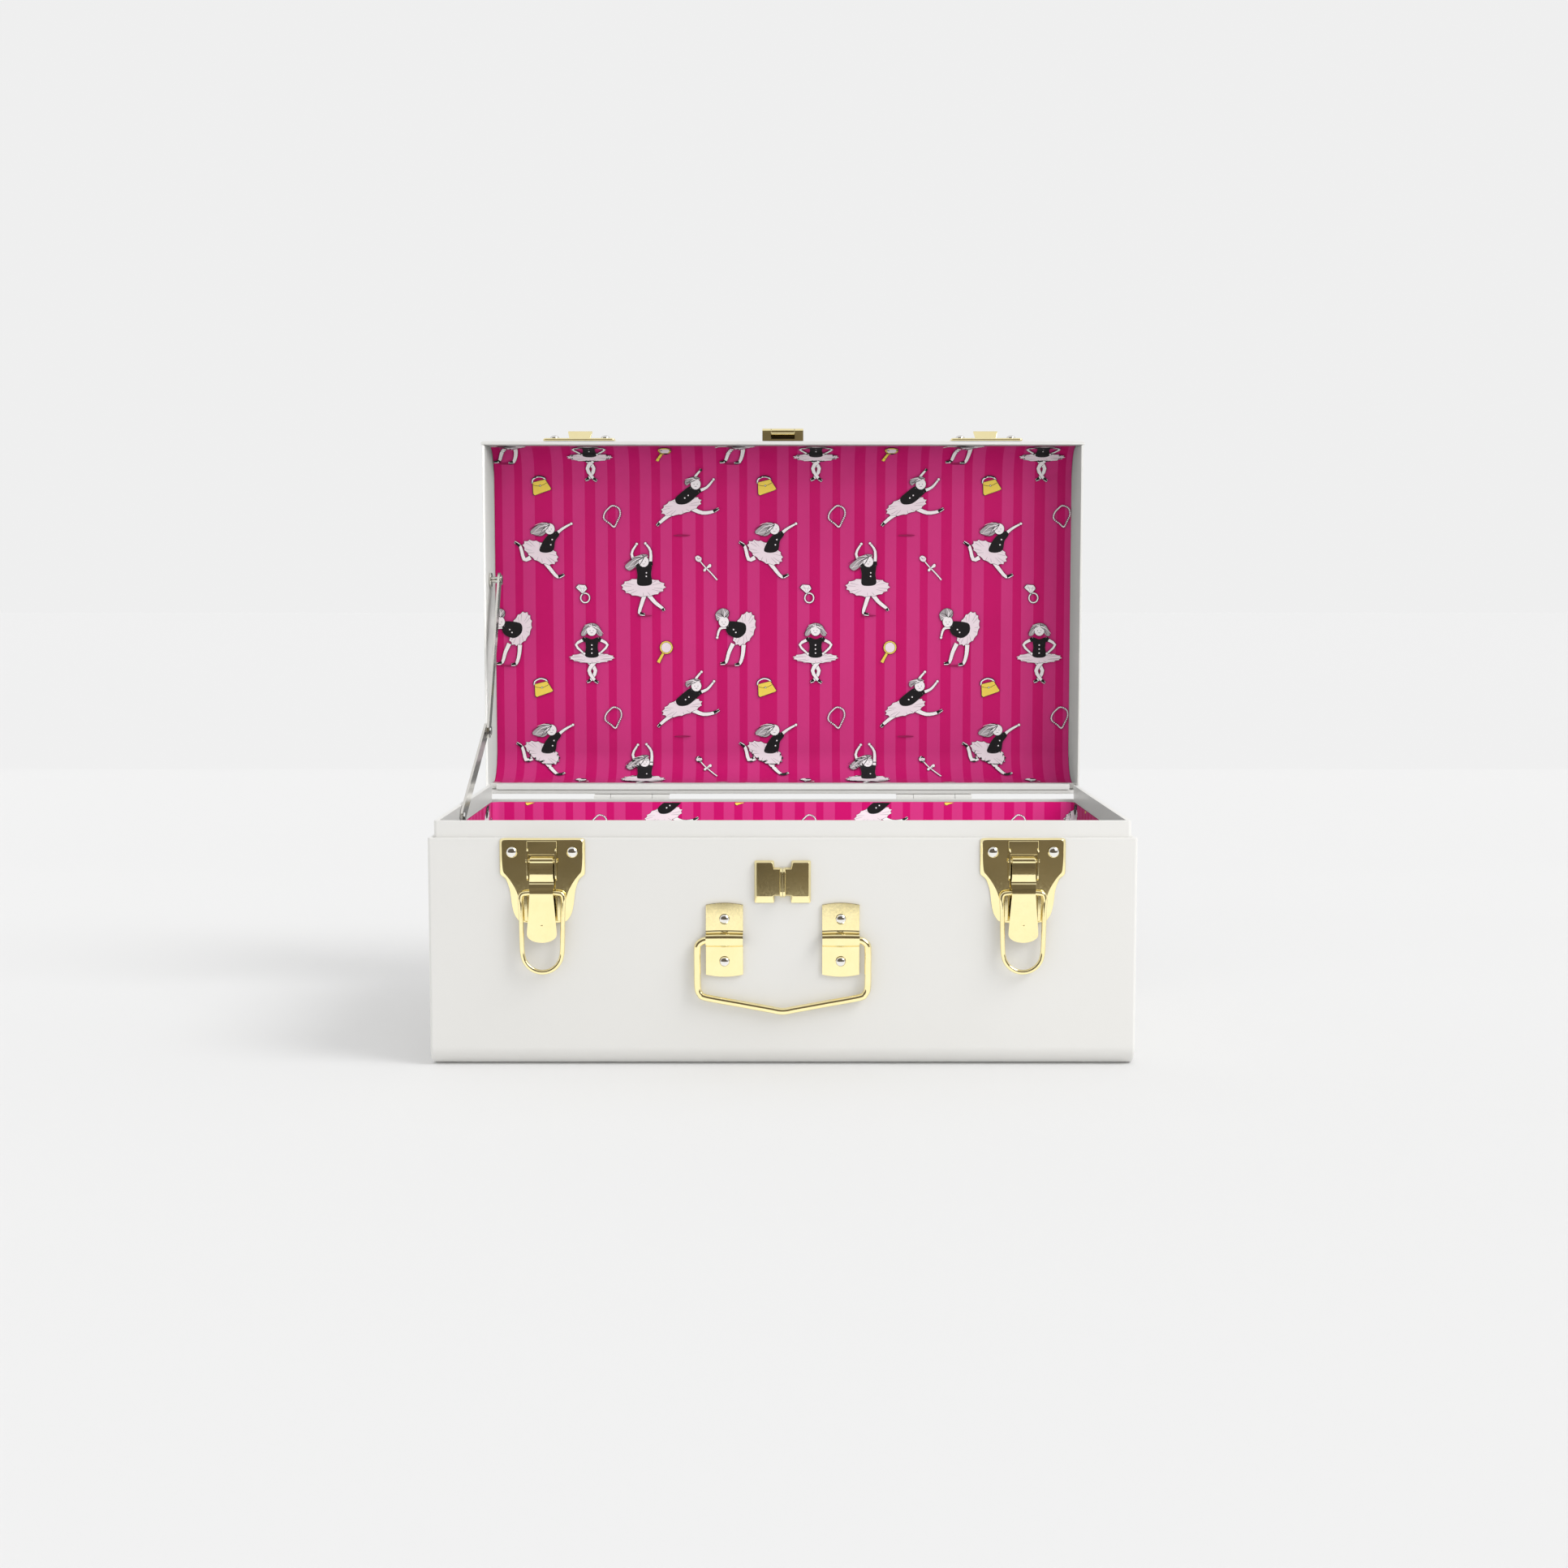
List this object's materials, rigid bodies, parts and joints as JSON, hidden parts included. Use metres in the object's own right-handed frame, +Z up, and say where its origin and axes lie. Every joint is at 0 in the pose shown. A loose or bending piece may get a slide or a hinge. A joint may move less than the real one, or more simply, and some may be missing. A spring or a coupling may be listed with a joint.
{
  "type": "keepsake suitcase",
  "caption": "White painted steel keepsake suitcase with an open hinged lid, printed lining, brass draw latches, padlock hasp, wire carrying handle and a folding lid stay.",
  "frame": {"origin": "centre of the base's footprint, on the surface it stands on", "axes": "+X along the width, to the right seen from the front; -Y out of the front wall with the handle; +Z up"},
  "size_m": [0.406, 0.2982, 0.3816],
  "materials": {
    "white_paint": "smooth satin off-white paint on sheet steel",
    "brass": "polished",
    "nickel": "polished nickel plate",
    "stay_steel": "nickel-plated strip",
    "printed_card": "matt card printed with pink stripes, dancers and small trinkets"
  },
  "bodies": {
    "base": {"base_wrap": "white_paint", "base_end_left": "white_paint", "base_end_right": "white_paint", "base_collar_front": "white_paint", "base_collar_left": "white_paint", "base_collar_right": "white_paint", "base_lining_floor": "printed_card", "base_lining_front": "printed_card", "base_lining_rear": "printed_card", "base_lining_left": "printed_card", "base_lining_right": "printed_card", "hinge_left_base_leaf": "white_paint", "hinge_left_pin": "white_paint", "latch_left_plate": "brass", "latch_left_pin": "brass", "handle_bracket_left": "brass", "latch_left_rivet_inner": "nickel", "latch_left_rivet_outer": "nickel", "handle_rivet_left_upper": "nickel", "handle_rivet_left_lower": "nickel", "hinge_right_base_leaf": "white_paint", "hinge_right_pin": "white_paint", "latch_right_plate": "brass", "latch_right_pin": "brass", "handle_bracket_right": "brass", "latch_right_rivet_inner": "nickel", "latch_right_rivet_outer": "nickel", "handle_rivet_right_upper": "nickel", "handle_rivet_right_lower": "nickel", "hasp_staple": "brass", "stay_base_rivet": "nickel"},
    "lid": {"lid_wrap": "white_paint", "lid_end_left": "white_paint", "lid_end_right": "white_paint", "lid_hinge_rail": "white_paint", "lid_lining": "printed_card", "hinge_left_lid_leaf": "white_paint", "strike_left": "brass", "strike_left_rivet_inner": "nickel", "strike_left_rivet_outer": "nickel", "hinge_right_lid_leaf": "white_paint", "strike_right": "brass", "strike_right_rivet_inner": "nickel", "strike_right_rivet_outer": "nickel", "hasp_leaf": "brass", "hasp_pin": "brass", "stay_lid_bracket": "stay_steel"},
    "hasp_flap": {"hasp_flap": "brass"},
    "handle": {"handle": "brass"},
    "stay_lower": {"stay_lower_link": "stay_steel"},
    "stay_upper": {"stay_upper_link": "stay_steel", "stay_knee_rivet": "nickel"},
    "latch_left_lever": {"latch_left_lever": "brass"},
    "latch_left_bail": {"latch_left_bail": "brass"},
    "latch_right_lever": {"latch_right_lever": "brass"},
    "latch_right_bail": {"latch_right_bail": "brass"}
  },
  "joints": [
    {"name": "lid_hinge", "type": "hinge", "parent": "base", "child": "lid", "pos_m": [0, 0.122, 0.132], "axis": [1, 0, 0], "range_deg": [0, 90]},
    {"name": "stay_lower_pivot", "type": "hinge", "parent": "base", "child": "stay_lower", "pos_m": [-0.1965, -0.0292, 0.1349], "axis": [1, 0, 0], "range_deg": [-30, 0]},
    {"name": "stay_upper_pivot", "type": "hinge", "parent": "lid", "child": "stay_upper", "pos_m": [-0.1946, 0.1411, 0.2802], "axis": [1, 0, 0], "range_deg": [0, 18]},
    {"name": "latch_left_lever_pivot", "type": "hinge", "parent": "base", "child": "latch_left_lever", "pos_m": [-0.1372, -0.124, 0.1193], "axis": [1, 0, 0], "range_deg": [-100, 0]},
    {"name": "latch_left_bail_pivot", "type": "hinge", "parent": "latch_left_lever", "child": "latch_left_bail", "pos_m": [-0.1372, -0.1246, 0.101], "axis": [-1, 0, 0], "range_deg": [0, 165]},
    {"name": "latch_right_lever_pivot", "type": "hinge", "parent": "base", "child": "latch_right_lever", "pos_m": [0.1372, -0.124, 0.1193], "axis": [1, 0, 0], "range_deg": [-100, 0]},
    {"name": "latch_right_bail_pivot", "type": "hinge", "parent": "latch_right_lever", "child": "latch_right_bail", "pos_m": [0.1372, -0.1246, 0.101], "axis": [-1, 0, 0], "range_deg": [0, 165]},
    {"name": "hasp_flap_pivot", "type": "hinge", "parent": "lid", "child": "hasp_flap", "pos_m": [0, 0.1265, 0.37925], "axis": [1, 0, 0], "range_deg": [0, 180]},
    {"name": "handle_pivot", "type": "hinge", "parent": "base", "child": "handle", "pos_m": [0, -0.123, 0.0738], "axis": [-1, 0, 0], "range_deg": [0, 95]}
  ],
  "couplings": [
    {"joint": "stay_lower_pivot", "follows": "lid_hinge", "ratio": -0.32814},
    {"joint": "stay_upper_pivot", "follows": "lid_hinge", "ratio": 0.19565}
  ]
}
